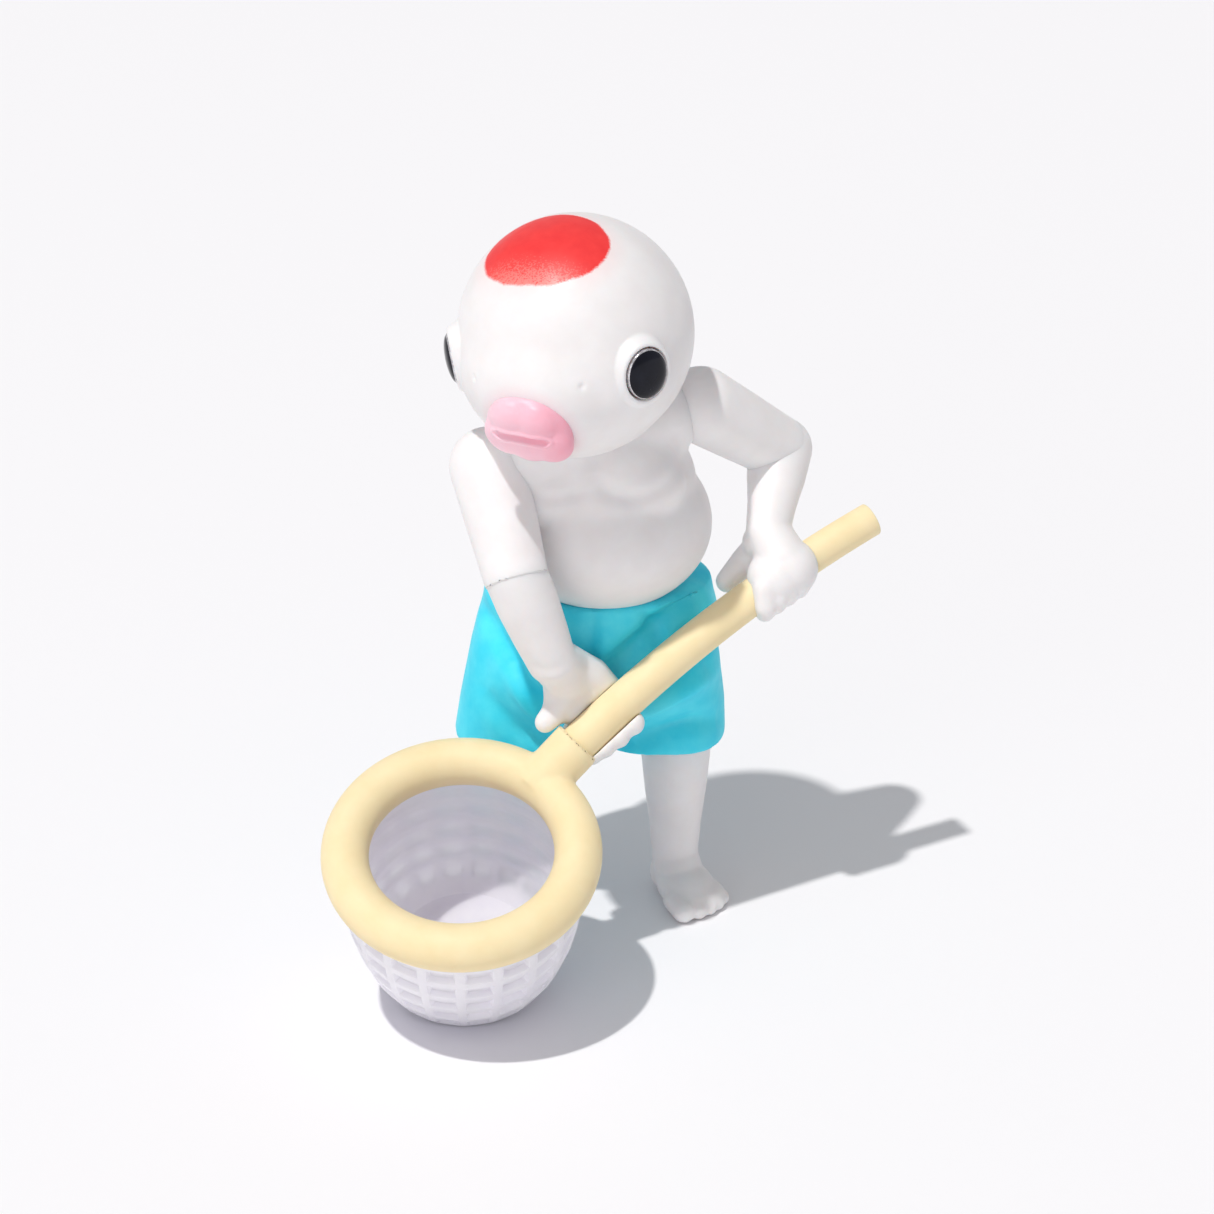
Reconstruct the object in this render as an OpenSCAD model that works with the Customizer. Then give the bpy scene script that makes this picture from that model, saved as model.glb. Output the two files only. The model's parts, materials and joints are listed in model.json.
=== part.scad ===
// Fish-headed bather with a scoop net: a small moulded figure made of plugged-together pieces.
// The figure faces -Y, its left side is +X, and it stands on Z = 0.

/* [Placement] */
// Sideways place of the waist, measured from the middle of the whole piece
figure_x = -0.4; // [-6:0.1:4]
// Fore-and-aft place of the waist, measured from the middle of the whole piece
figure_y = 10.3; // [6:0.1:14]

/* [Head] */
// Radius of the skull
head_r = 8.85; // [7.5:0.1:11]
// Wall of the hollow head
head_wall = 1.4; // [1:0.1:1.8]
// Radius of the muzzle swelling
muzzle_r = 6.4; // [5:0.1:7.5]
// How far the muzzle centre lies in front of the skull centre
muzzle_out = 3.6; // [2:0.1:4.4]
// Nod of the head, downwards
head_nod = 10; // [0:1:16]
// Tip of the head towards its right shoulder
head_tip = 6; // [0:1:10]
// Turn of the head towards its right
head_turn = 25; // [15:1:32]
// Forward lean of the neck
neck_lean = 14; // [8:1:18]
// Height of the skull centre over the neck base
neck_rise = 7.2; // [6.4:0.1:9]
// Gap between the head and the dish it sits in
head_gap = 0.3; // [0.2:0.05:0.5]

/* [Face] */
// Radius of each black eye
eye_r = 1.95; // [1.6:0.05:2.4]
// Radius of the raised rim round each eye
eye_rim_r = 2.95; // [2.7:0.05:3.4]
// How far the rim stands out of the skull
eye_rim_out = 0.35; // [0.2:0.05:0.6]
// Angle of each eye away from straight ahead
eye_angle = 59; // [50:1:70]
// Depth of the pocket that holds each eye
eye_seat = 0.7; // [0.5:0.05:0.9]
// Width of the lips
lips_w = 7; // [5.6:0.1:8.4]
// Height of the lips
lips_h = 5.8; // [4.8:0.1:7]
// Radius of the plug that holds the lips
lips_pin_r = 1.2; // [0.9:0.1:1.5]
// How far the lips stand out of the muzzle
lips_out = 1.1; // [0.8:0.1:1.6]
// Angle of the lips below straight ahead
lips_drop = 17; // [14:1:25]

/* [Torso] */
// Height from the waist to the neck base
torso_h = 14.9; // [12.4:0.1:17.9]
// Half width of the belly
belly_w = 8.4; // [7:0.1:10]
// Half depth of the belly
belly_d = 7.7; // [6.4:0.1:9.2]
// Half width of the chest
chest_w = 7.2; // [6:0.1:8]
// Half depth of the chest
chest_d = 5.6; // [4.8:0.1:6.6]
// Distance between the shoulder joints
shoulder_span = 16.6; // [15.8:0.1:20]
// Twist of the shoulder line, left shoulder back
shoulder_turn = 16; // [10:1:20]
// Slope of the shoulder line, left shoulder up
shoulder_slope = 10; // [2:1:12]
// Radius of the neck plug
neck_pin_r = 2.2; // [1.8:0.1:2.8]
// Radius of the waist plug
waist_pin_r = 2.5; // [2:0.1:3]

/* [Arms] */
// Radius of each shoulder ball
shoulder_r = 2.95; // [2.5:0.05:3.5]
// Radius of each elbow ball
elbow_r = 2.4; // [2:0.05:2.8]
// Radius of each wrist
wrist_r = 1.9; // [1.6:0.05:2.3]
// Radius of each shoulder plug
shoulder_pin_r = 1.1; // [1:0.05:1.5]
// Length of each shoulder plug, from the shoulder centre
shoulder_pin_l = 4.2; // [3.6:0.1:4.6]
// Radius of each elbow plug
elbow_pin_r = 0.9; // [0.7:0.05:1.1]
// Distance of the right hand from the hoop's rim, along the pole
right_grip = 6.9; // [6.8:0.1:7.4]
// Place of the left hand along the pole, as a share of its length
left_grip = 0.73; // [0.7:0.01:0.75]
// Length of pole that each hand covers
grip_l = 4.4; // [4:0.1:4.6]

/* [Trunks] */
// Height of the hem above the floor
hem_z = 14.4; // [12.5:0.1:18]
// Height of the trunks
trunks_h = 13.8; // [11.5:0.1:16.6]
// Half width of the waist
waist_w = 8.8; // [7.4:0.1:9.2]
// Half depth of the waist
waist_d = 6.4; // [5.8:0.1:6.8]
// Radius of each trouser leg at its hem
hem_r = 5.2; // [4.9:0.1:5.5]
// How far each trouser leg's middle lies inside the leg's
hem_inset = 1.1; // [0.6:0.1:1.3]
// Wall of each trouser leg at its hem
hem_wall = 0.9; // [0.7:0.1:1.2]
// Depth of the hollow up each trouser leg
cuff_d = 5; // [4:0.1:6]

/* [Legs] */
// Distance between the two hip plugs
leg_span = 13.2; // [12.4:0.1:14.6]
// Radius of each thigh
thigh_r = 2.75; // [2.3:0.05:3.2]
// Radius of each ankle
ankle_r = 1.85; // [1.6:0.05:2.2]
// Length of each foot
foot_l = 8.4; // [7.2:0.1:10.4]
// Width of each foot
foot_w = 4.4; // [3.6:0.1:5.2]
// Outward turn of each foot
foot_splay = 30; // [20:1:40]
// Radius of each hip plug
hip_pin_r = 1.5; // [1.2:0.05:1.8]
// Length of each hip plug
hip_pin_l = 4.5; // [3.6:0.1:5.4]

/* [Net] */
// Radius of the hoop, to the middle of its rim
hoop_r = 8.6; // [8:0.1:9.4]
// Radius of the hoop's rim
rim_r = 1.78; // [1.5:0.02:2.1]
// Height of the hoop's centre
hoop_z = 14.1; // [13.4:0.1:15.6]
// Slope of the hoop's plane
hoop_slope = 22.3; // [16:0.1:26]
// Depth of the net basket below the hoop's plane
basket_d = 13.2; // [12:0.1:14.4]
// Radius of the basket's rim
basket_r = 9.3; // [8.6:0.1:9.6]
// Radius of the basket's bottom
basket_bottom_r = 7; // [5.8:0.1:7.6]
// Wall of the basket
basket_wall = 0.9; // [0.7:0.05:1.2]
// Length of the pole, from the hoop's rim to its free end
pole_l = 32.2; // [29:0.1:36]
// Radius of the pole where it leaves the hoop
pole_r = 1.55; // [1.4:0.05:1.7]
// How much thinner the pole's radius is at its free end
pole_thinning = 0.25; // [0:0.05:0.4]
// Angle through which the pole is bent
pole_bend = 20; // [12:1:24]
// Radius of the collar on the hoop
collar_r = 2.05; // [1.9:0.05:2.4]
// Length of the collar
collar_l = 4.4; // [3.6:0.1:4.6]
// Clearance of every turning or sliding fit
fit_gap = 0.06; // [0.03:0.01:0.1]

/* [Hidden] */
$fn = 64;
ROUND = 28;          // facets of a blended limb
white = "white";
cyan = "#38CDEE";
yellow = "#F6E3B8";
lilac = "#E6E2F2";
pink = "#FFB0C4";
black = "#101216";

function unit(v) = v / norm(v);
function along(a, b, t) = a + (b - a) * t;
function heading(turn, rise) = [cos(turn) * cos(rise), sin(turn) * cos(rise), sin(rise)];

// Body landmarks, from the floor up
waist = [0, 0, hem_z + trunks_h];
hip_x = -0.65;
hip_y = 0.3;
function hip(side) = [hip_x + side * leg_span / 2, hip_y, 0];
neck = waist + [-1.7, -3.2, torso_h];
neck_up = [0, -sin(neck_lean), cos(neck_lean)];
head_c = neck + neck_up * neck_rise;
shoulder_mid = waist + [-0.3, -2.85, torso_h - 2.1];
shoulder_dir = heading(shoulder_turn, shoulder_slope);
left_shoulder = shoulder_mid + shoulder_dir * shoulder_span / 2;
right_shoulder = shoulder_mid - shoulder_dir * shoulder_span / 2;

// Net landmarks
hoop_c = [-10.1, -17.9, hoop_z];
hoop_up = heading(-90, 90 - hoop_slope);
root_heading = heading(51, 0);
root_dir = unit(root_heading - hoop_up * (hoop_up * root_heading));
pole_root = hoop_c + root_dir * hoop_r;
pole_dir = heading(26.4, 29.7);
pole_bow = unit([0, 0, 1] - pole_dir * pole_dir[2]);   // the pole is arched upwards
pole_R = pole_l / 2 / sin(pole_bend / 2);
pole_c = pole_root + pole_dir * pole_l / 2 - pole_bow * pole_R * cos(pole_bend / 2);
function pole_at(t) = let (a = pole_bend * (t - 0.5)) pole_c + (pole_bow * cos(a) + pole_dir * sin(a)) * pole_R;
function pole_run(t) = let (a = pole_bend * (t - 0.5)) pole_dir * cos(a) - pole_bow * sin(a);
pole_steps = [0, 0.36, 0.6, 1];
function pole_r_at(i) = pole_r - pole_thinning * i / (len(pole_steps) - 2);

// Arm landmarks: each elbow lies off the straight line from the shoulder to the hand
right_share = right_grip / pole_l;
right_hand = pole_at(right_share);
left_hand = pole_at(left_grip);
right_wrist = right_hand + [-4, -0.5, 5.2];
left_wrist = left_hand + [-0.7, 1.3, 3.5];
right_elbow = along(right_shoulder, right_wrist, 0.5) + [-0.3, -2.5, 0.4];
left_elbow = along(left_shoulder, left_wrist, 0.5) + [3.6, 4.5, -0.5];

module look_along(at, dir, up = [0, 0, 1]) {
    z = unit(dir);
    x = unit(cross(up, z));
    y = cross(z, x);
    multmatrix([[x[0], y[0], z[0], at[0]], [x[1], y[1], z[1], at[1]], [x[2], y[2], z[2], at[2]]]) children();
}

module place() translate([figure_x, figure_y, 0]) children();
module ball(at, r) translate(at) sphere(r);
module blob(at, r) translate(at) sphere(r, $fn = ROUND);
module egg(at, r) translate(at) scale(r) sphere(1, $fn = ROUND);
module limb(a, ra, b, rb) hull() {
    blob(a, ra);
    blob(b, rb);
}
module plug(at, dir, r, l) look_along(at, dir, [0, 1, 0.3]) cylinder(h = l, r = r);

// A stretch of the pole, or of the tunnel it runs in
module pole_arc(t0, t1, r) {
    z = cross(pole_bow, pole_dir);
    multmatrix([
        [pole_bow[0], pole_dir[0], z[0], pole_c[0]],
        [pole_bow[1], pole_dir[1], z[1], pole_c[1]],
        [pole_bow[2], pole_dir[2], z[2], pole_c[2]]
    ])
        rotate([0, 0, pole_bend * (t0 - 0.5)])
            rotate_extrude(angle = pole_bend * (t1 - t0)) translate([pole_R, 0]) circle(r);
}

module in_head() translate(head_c) rotate([head_nod, -head_tip, -head_turn]) children();
module at_eye(side) in_head() rotate([0, 0, side * eye_angle]) rotate([90, 0, 0]) children();
module at_lips() in_head() rotate([lips_drop, 0, 0]) rotate([90, 0, 0]) children();

module head_skin() in_head() {
    sphere(head_r);
    rotate([lips_drop, 0, 0]) translate([0, -muzzle_out, 0]) sphere(muzzle_r);
}

module head() color(white) place() difference() {
    union() {
        head_skin();
        for (side = [-1, 1]) at_eye(side) cylinder(h = head_r + eye_rim_out, r1 = 0.5, r2 = eye_rim_r);
    }
    difference() {
        in_head() sphere(head_r - head_wall);
        plug(neck, neck_up, neck_pin_r + 1.6, neck_rise + 1);
        for (side = [-1, 1]) at_eye(side) translate([0, 0, head_r - head_wall - 1]) cylinder(h = 4, r = eye_rim_r);
        at_lips() translate([0, 0, head_r - head_wall - 1]) cylinder(h = 4, r = lips_h / 2);
    }
    plug(neck - neck_up * 3, neck_up, neck_pin_r + fit_gap, neck_rise + 6);
    for (side = [-1, 1]) at_eye(side) translate([0, 0, head_r + eye_rim_out - eye_seat]) cylinder(h = 4, r = eye_r);
    at_lips() translate([0, 0, head_r - head_wall]) cylinder(h = 4, r = lips_pin_r);
}

module lips() color(pink) place() {
    difference() {
        at_lips() translate([0, 0, muzzle_out + muzzle_r - 0.6]) scale([lips_w / lips_h, 1, 1]) rotate_extrude() {
            translate([lips_h / 4 - 0.1, 0]) square([lips_h / 4, lips_out]);
            translate([lips_h / 4, lips_out]) circle(lips_h / 4 - 0.4);
            square([lips_h / 4, lips_out]);
        }
        head_skin();
    }
    at_lips() translate([0, 0, head_r - head_wall]) cylinder(h = muzzle_out + muzzle_r + 0.2 - head_r + head_wall, r = lips_pin_r);
}

module eye(side) color(black) place() at_eye(side) translate([0, 0, head_r + eye_rim_out - eye_seat]) intersection() {
    cylinder(h = 4, r = eye_r);
    translate([0, 0, eye_seat + 0.35 - 5]) sphere(5);
}
module left_eye() eye(1);
module right_eye() eye(-1);

module torso() color(white) place() {
    difference() {
        union() {
            hull() {
                egg(waist + [0.6, -0.6, 4.8], [belly_w, belly_d, 6.2]);
                egg(waist + [-0.2, -1.7, torso_h - 5.2], [chest_w, chest_d, 5]);
            }
            limb(shoulder_mid - shoulder_dir * (shoulder_span / 2 - 3.2), shoulder_r + 0.3,
                 shoulder_mid + shoulder_dir * (shoulder_span / 2 - 3.2), shoulder_r + 0.3);
            plug(neck - neck_up * 4, neck_up, 4, 7);
        }
        translate(waist - [20, 20, 20]) cube([40, 40, 20]);
        in_head() sphere(head_r + head_gap);
        ball(left_shoulder, shoulder_r + 0.15);
        plug(right_shoulder + shoulder_dir * (shoulder_r + 0.25), -shoulder_dir, shoulder_r * 2, 14);
        plug(right_shoulder, shoulder_dir, shoulder_pin_r + fit_gap, shoulder_pin_l + 0.3);
        plug(left_shoulder, -shoulder_dir, shoulder_pin_r + fit_gap, shoulder_pin_l + 0.3);
    }
    plug(neck - neck_up * 2, neck_up, neck_pin_r, neck_rise);
    translate(waist - [0, 0, 4]) cylinder(h = 5, r = waist_pin_r);
}

module trouser_leg(side) hull() {
    translate([hip_x / 2 + side * leg_span / 2 * 0.7, 0, hem_z + trunks_h * 0.6]) cylinder(h = 0.5, r = hem_r - 0.4, $fn = ROUND);
    translate([hip_x + side * (leg_span / 2 - hem_inset), 0.4, hem_z]) cylinder(h = 0.5, r = hem_r, $fn = ROUND);
}

module trunks() color(cyan) place() difference() {
    union() {
        hull() {
            translate([0, 0, hem_z + trunks_h - 1]) scale([waist_w, waist_d, 1]) cylinder(h = 1, r = 1, $fn = ROUND);
            translate([-0.4, 0, hem_z + trunks_h * 0.45])
                scale([waist_w + 1, waist_d, 1]) cylinder(h = 1, r = 1, $fn = ROUND);
            translate([-0.4, 0, hem_z + 4.5]) scale([waist_w - 2, waist_d - 2, 1]) cylinder(h = 1, r = 1, $fn = ROUND);
        }
        for (side = [-1, 1]) trouser_leg(side);
    }
    for (side = [-1, 1]) {
        translate([hip_x + side * (leg_span / 2 - hem_inset), 0.4, hem_z - 1])
            cylinder(h = cuff_d + 1, r1 = hem_r - hem_wall, r2 = hem_r - hem_wall - 0.3);
        translate(hip(side) + [0, 0, hem_z]) cylinder(h = cuff_d + hip_pin_l + 0.5, r = hip_pin_r + fit_gap);
    }
    translate(waist - [0, 0, 4]) cylinder(h = 5, r = waist_pin_r);
}

module leg(side) color(white) place() translate(hip(side)) {
    cylinder(h = hem_z + cuff_d + hip_pin_l - 0.3, r = hip_pin_r);
    limb([0, 0, 3.4], ankle_r, [0, 0, hem_z + cuff_d - thigh_r - 0.4], thigh_r);
    rotate([0, 0, side * foot_splay]) intersection() {
        hull() {
            egg([0, foot_l * 0.12, 1.7], [foot_w * 0.4, foot_w * 0.4, 1.9]);
            egg([0, -foot_l * 0.42, 0.9], [foot_w * 0.5, foot_l * 0.26, 1.3]);
            blob([0, 0, 3.4], ankle_r);
        }
        translate([-20, -20, 0]) cube(40);
    }
}
module left_leg() leg(1);
module right_leg() leg(-1);

module upper_arm(shoulder, elbow, wrist, inward) color(white) place() {
    difference() {
        union() {
            ball(shoulder, shoulder_r);
            limb(shoulder, shoulder_r - 0.1, along(shoulder, elbow, 0.85), elbow_r + 0.1);
        }
        ball(elbow, elbow_r);
        plug(elbow, shoulder - elbow, elbow_pin_r, elbow_r + 1.6);
        limb(elbow, elbow_r - 0.1, wrist, wrist_r);
    }
    plug(shoulder, inward, shoulder_pin_r, shoulder_pin_l);
}
module left_upper_arm() upper_arm(left_shoulder, left_elbow, left_wrist, -shoulder_dir);
module right_upper_arm() upper_arm(right_shoulder, right_elbow, right_wrist, shoulder_dir);

module forearm(shoulder, elbow, wrist, hand) {
    ball(elbow, elbow_r);
    plug(elbow, shoulder - elbow, elbow_pin_r, elbow_r + 1.6);
    limb(elbow, elbow_r - 0.1, wrist, wrist_r);
    limb(wrist, wrist_r, hand + (wrist - hand) * 0.35, wrist_r + 0.3);
}

// The fist closes right round the pole
module left_forearm() color(white) place() difference() {
    union() {
        forearm(left_shoulder, left_elbow, left_wrist, left_hand);
        hull() for (t = [-1, 1]) {
            blob(left_hand + pole_run(left_grip) * t * (grip_l / 2 - 1.4) + [0.2, 0, 0.5], 2.5);
            blob(left_hand + pole_run(left_grip) * t * (grip_l / 2 - 1.2) + [0.3, -0.7, -0.7], 1.9);
        }
    }
    pole_arc(left_grip - 0.2, left_grip + 0.2, pole_r_at(2) + fit_gap);
}

// The palm lies behind the pole, with the thumb over it and the fingers under it
module right_forearm() color(white) place() difference() {
    run = pole_run(right_share);
    union() {
        forearm(right_shoulder, right_elbow, right_wrist, right_hand);
        hull() for (t = [-1, 1])
            blob(right_hand + run * (0.3 + t * (grip_l / 2 - 1.5)) + [-0.6, 0.9, 0.2], 1.8);
        limb(right_hand + run * 0.8 + [0.2, 1, -1.2], 1.5, right_hand + run * 1.2 + [1.6, -0.6, -1.6], 1.1);
        limb(right_wrist, 1.4, right_hand - run * 2.2 + [-2, -0.8, -0.4], 0.9);
    }
    pole_arc(0, right_share + 0.16, pole_r_at(0) + fit_gap);
    plug(pole_root, pole_run(0), collar_r + 0.2, collar_l + 0.2);
}

module in_hoop() look_along(hoop_c, hoop_up) children();

module net_hoop() color(yellow) place() difference() {
    union() {
        in_hoop() rotate_extrude() translate([hoop_r, 0]) circle(rim_r);
        plug(pole_root, pole_run(0), collar_r, collar_l);
    }
    pole_arc(0, 0.3, pole_r_at(0));
    in_hoop() translate([0, 0, -rim_r * 2]) difference() {
        cylinder(h = rim_r * 1.5, r = basket_r);
        translate([0, 0, -1]) cylinder(h = rim_r * 2 + 2, r = basket_r - basket_wall);
    }
}

module net_handle() color(yellow) place()
    for (i = [0:len(pole_steps) - 2])
        pole_arc(pole_steps[i], min(pole_steps[i + 1] + 0.005, 1), pole_r_at(i));

module bowl(inset) rotate_extrude() polygon([
    [0, -basket_d + inset],
    [basket_bottom_r - inset, -basket_d + inset],
    [basket_r * 0.6 + basket_bottom_r * 0.4 + 0.1 - inset, -basket_d * 0.6],
    [basket_r - inset, -rim_r * 1.1],
    [basket_r - inset, -rim_r * 0.5],
    [0, -rim_r * 0.5]
]);

module net_basket() color(lilac) place() intersection() {
    in_hoop() difference() {
        bowl(0);
        bowl(basket_wall);
        translate([0, 0, -rim_r]) cylinder(h = rim_r, r = basket_r - basket_wall);
    }
    translate([-40, -60, 0]) cube(80);
}

head();
lips();
left_eye();
right_eye();
torso();
trunks();
left_upper_arm();
left_forearm();
right_upper_arm();
right_forearm();
left_leg();
right_leg();
net_hoop();
net_handle();
net_basket();
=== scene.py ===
import json
import math

import bmesh
import bpy
import numpy as np
from mathutils import Euler, Matrix, Vector
from mathutils.bvhtree import BVHTree


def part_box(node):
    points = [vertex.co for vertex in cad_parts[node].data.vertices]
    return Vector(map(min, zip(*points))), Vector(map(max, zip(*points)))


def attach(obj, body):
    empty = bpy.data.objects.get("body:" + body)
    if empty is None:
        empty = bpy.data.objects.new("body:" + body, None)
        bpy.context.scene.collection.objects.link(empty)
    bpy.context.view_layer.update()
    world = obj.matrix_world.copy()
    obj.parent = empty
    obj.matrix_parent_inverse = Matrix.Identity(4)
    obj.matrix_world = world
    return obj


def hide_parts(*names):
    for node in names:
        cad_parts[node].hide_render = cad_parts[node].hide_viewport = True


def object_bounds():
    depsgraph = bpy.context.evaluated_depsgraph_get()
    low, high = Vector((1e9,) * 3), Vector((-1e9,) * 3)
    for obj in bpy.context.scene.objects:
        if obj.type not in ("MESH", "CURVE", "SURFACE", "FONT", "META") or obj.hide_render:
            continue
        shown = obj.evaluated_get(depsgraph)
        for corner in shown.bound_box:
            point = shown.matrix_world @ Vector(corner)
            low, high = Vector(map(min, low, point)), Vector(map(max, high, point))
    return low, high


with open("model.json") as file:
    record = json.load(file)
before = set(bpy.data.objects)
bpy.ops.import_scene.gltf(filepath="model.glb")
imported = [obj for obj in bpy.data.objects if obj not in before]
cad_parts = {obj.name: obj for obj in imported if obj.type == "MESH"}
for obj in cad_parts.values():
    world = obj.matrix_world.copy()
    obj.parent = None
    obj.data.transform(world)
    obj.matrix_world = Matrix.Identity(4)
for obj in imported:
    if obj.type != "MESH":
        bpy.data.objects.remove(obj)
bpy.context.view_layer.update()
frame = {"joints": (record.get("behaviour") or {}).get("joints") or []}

MM = 0.001


# ---------------------------------------------------------------- landmarks, in millimetres

joints = {j["name"]: j for j in frame["joints"]}


def pivot(name):
    return Vector(joints[name]["pos_m"]) / MM


def turn_line(name):
    return Vector(joints[name]["axis"]).normalized()


def middle(node):
    low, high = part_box(node)
    return (low + high) / 2 / MM


def heading(turn, rise):
    turn, rise = math.radians(turn), math.radians(rise)
    return Vector((math.cos(turn) * math.cos(rise), math.sin(turn) * math.cos(rise), math.sin(rise)))


NECK, NECK_UP = pivot("head_swivel"), turn_line("head_swivel")
HEAD = NECK + NECK_UP * 7.2
EYE_NARROW = 0.86
HEAD_TURN = Euler([math.radians(a) for a in (10, -6, -25)], "XYZ")
LEFT_SHOULDER, RIGHT_SHOULDER = pivot("left_shoulder"), pivot("right_shoulder")
SHOULDER_LINE = -turn_line("left_shoulder")
DOWN, UP = Vector((0, 0, -1)), Vector((0, 0, 1))
LEFT_HIP, RIGHT_HIP = pivot("left_hip_twist"), pivot("right_hip_twist")
TRUNKS_LOW, TRUNKS_HIGH = [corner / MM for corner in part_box("trunks")]
WAIST = Vector((-0.4, 10.3, TRUNKS_HIGH.z))
HEM = TRUNKS_LOW.z

# the pole is an arc about the pivot that the net slides round
POLE_MIDDLE = pivot("net_slide")
POLE_AHEAD = heading(26.4, 29.7)
POLE_BOW = (Vector((0, 0, 1)) - POLE_AHEAD * POLE_AHEAD.z).normalized()
POLE_BEND = math.radians(20)
POLE_RADIUS = 32.2 / 2 / math.sin(POLE_BEND / 2)
RIGHT_GRIP, LEFT_GRIP = 0.214, 0.73


def pole_at(share):
    a = POLE_BEND * (share - 0.5)
    return POLE_MIDDLE + (POLE_BOW * math.cos(a) + POLE_AHEAD * math.sin(a)) * POLE_RADIUS


def pole_run(share):
    a = POLE_BEND * (share - 0.5)
    return POLE_AHEAD * math.cos(a) - POLE_BOW * math.sin(a)


RIGHT_HAND, LEFT_HAND = pole_at(RIGHT_GRIP), pole_at(LEFT_GRIP)
RIGHT_WRIST = RIGHT_HAND + Vector((-4, -0.5, 5.2))
LEFT_WRIST = LEFT_HAND + Vector((-0.7, 1.3, 3.5))
RIGHT_ELBOW = (RIGHT_SHOULDER + RIGHT_WRIST) / 2 + Vector((-0.3, -2.5, 0.4))
LEFT_ELBOW = (LEFT_SHOULDER + LEFT_WRIST) / 2 + Vector((3.6, 4.5, -0.5))

HOOP_RADIUS, RIM_RADIUS = 8.6, 1.78
HOOP = Vector((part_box("net_hoop")[0].x / MM + HOOP_RADIUS + RIM_RADIUS, -7.6, 14.1))
HOOP_UP = heading(-90, 90 - 22.3)
FLOOR_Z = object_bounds()[0].z


# ---------------------------------------------------------------- shaping

def facing(at, ahead, upright=Vector((0, 0, 1))):
    """A place whose own z points ahead."""
    z = ahead.normalized()
    x = upright.cross(z).normalized()
    return Matrix.Translation(at) @ Matrix((x, z.cross(x), z)).transposed().to_4x4()


def ball(shape, at, radii, turn=None):
    """A ball or egg in the shape; radii is one number or three."""
    radii = radii if isinstance(radii, (tuple, list)) else (radii,) * 3
    place = Matrix.Translation(at) @ (turn.to_matrix().to_4x4() if turn else Matrix.Identity(4))
    around = 56 if max(radii) > 4 else 26
    bmesh.ops.create_uvsphere(
        shape, u_segments=around, v_segments=around // 2, radius=1, matrix=place @ Matrix.Diagonal((*radii, 1)))


def limb(shape, a, radius_a, b, radius_b):
    """A tapered round-ended limb from a to b."""
    ball(shape, a, radius_a)
    ball(shape, b, radius_b)
    upright = Vector((0.3, 1, 0.1))
    bmesh.ops.create_cone(
        shape, cap_ends=True, cap_tris=False, segments=26, radius1=radius_a, radius2=radius_b,
        depth=(b - a).length, matrix=facing((a + b) / 2, b - a, upright),
    )


def chain(shape, stations):
    """A run of limbs through (place, radius) stations."""
    for (a, radius_a), (b, radius_b) in zip(stations, stations[1:]):
        limb(shape, a, radius_a, b, radius_b)


def drum(shape, at, ahead, radius_a, radius_b, depth, upright=Vector((0, 1, 0.001))):
    """A straight drum or cone standing on at."""
    place = facing(at, ahead, upright)
    return bmesh.ops.create_cone(
        shape, cap_ends=True, cap_tris=False, segments=64, radius1=radius_a, radius2=radius_b, depth=depth,
        matrix=place @ Matrix.Translation((0, 0, depth / 2)),
    )["verts"]


def lathe(shape, at, ahead, outline, steps=96):
    """An outline of (radius, height) points spun right round the line from at."""
    place = facing(at, ahead, Vector((0, 1, 0.001)))
    corners = [shape.verts.new((r, 0, h)) for r, h in outline]
    edges = [shape.edges.new(pair) for pair in zip(corners, corners[1:])]
    bmesh.ops.spin(
        shape, geom=corners + edges, cent=(0, 0, 0), axis=(0, 0, 1), angle=math.tau, steps=steps, use_merge=True,
    )
    bmesh.ops.remove_doubles(shape, verts=shape.verts, dist=1e-4)
    bmesh.ops.recalc_face_normals(shape, faces=shape.faces)
    bmesh.ops.transform(shape, matrix=place, verts=shape.verts)


def plain_object(name, shape):
    mesh = bpy.data.meshes.new(name)
    shape.to_mesh(mesh)
    shape.free()
    thing = bpy.data.objects.new(name, mesh)
    bpy.context.scene.collection.objects.link(thing)
    return thing


def shaped_by(thing):
    """The object's mesh with its modifiers worked in, as a new shape; the object is used up."""
    graph = bpy.context.evaluated_depsgraph_get()
    mesh = bpy.data.meshes.new_from_object(thing.evaluated_get(graph))
    shape = bmesh.new()
    shape.from_mesh(mesh)
    old = thing.data
    bpy.data.objects.remove(thing)
    bpy.data.meshes.remove(mesh)
    bpy.data.meshes.remove(old)
    return shape


def cast(shape, grain, evening):
    """Melts the overlapping forms of a shape into one even skin."""
    blank = plain_object("blank", shape)
    skin = blank.modifiers.new("skin", "REMESH")
    skin.mode, skin.voxel_size = "VOXEL", grain
    even = blank.modifiers.new("even", "SMOOTH")
    even.factor, even.iterations = 0.5, evening
    return shaped_by(blank)


def cut(shape, cutter):
    """Takes the cutter's form out of the shape."""
    blank, tool = plain_object("blank", shape), plain_object("tool", cutter)
    bite = blank.modifiers.new("bite", "BOOLEAN")
    bite.operation, bite.solver, bite.object = "DIFFERENCE", "EXACT", tool
    made = shaped_by(blank)
    old = tool.data
    bpy.data.objects.remove(tool)
    bpy.data.meshes.remove(old)
    return made


def slice_off(shape, at, ahead, edge=0.0):
    """Cuts off all that lies ahead of a plane and closes the face, its edge rounded."""
    made = bmesh.ops.bisect_plane(
        shape, geom=shape.verts[:] + shape.edges[:] + shape.faces[:], dist=1e-5, plane_co=at, plane_no=ahead,
        clear_outer=True,
    )
    corners = [part for part in made["geom_cut"] if isinstance(part, bmesh.types.BMVert)]
    bmesh.ops.remove_doubles(shape, verts=corners, dist=0.06)
    rim = [edge for edge in shape.edges if edge.is_boundary]
    bmesh.ops.contextual_create(shape, geom=rim)
    bmesh.ops.recalc_face_normals(shape, faces=shape.faces)
    if edge:
        bmesh.ops.bevel(
            shape, geom=rim, offset=edge, offset_type="OFFSET", affect="EDGES", segments=3, profile=0.5, material=-1,
        )


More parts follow.
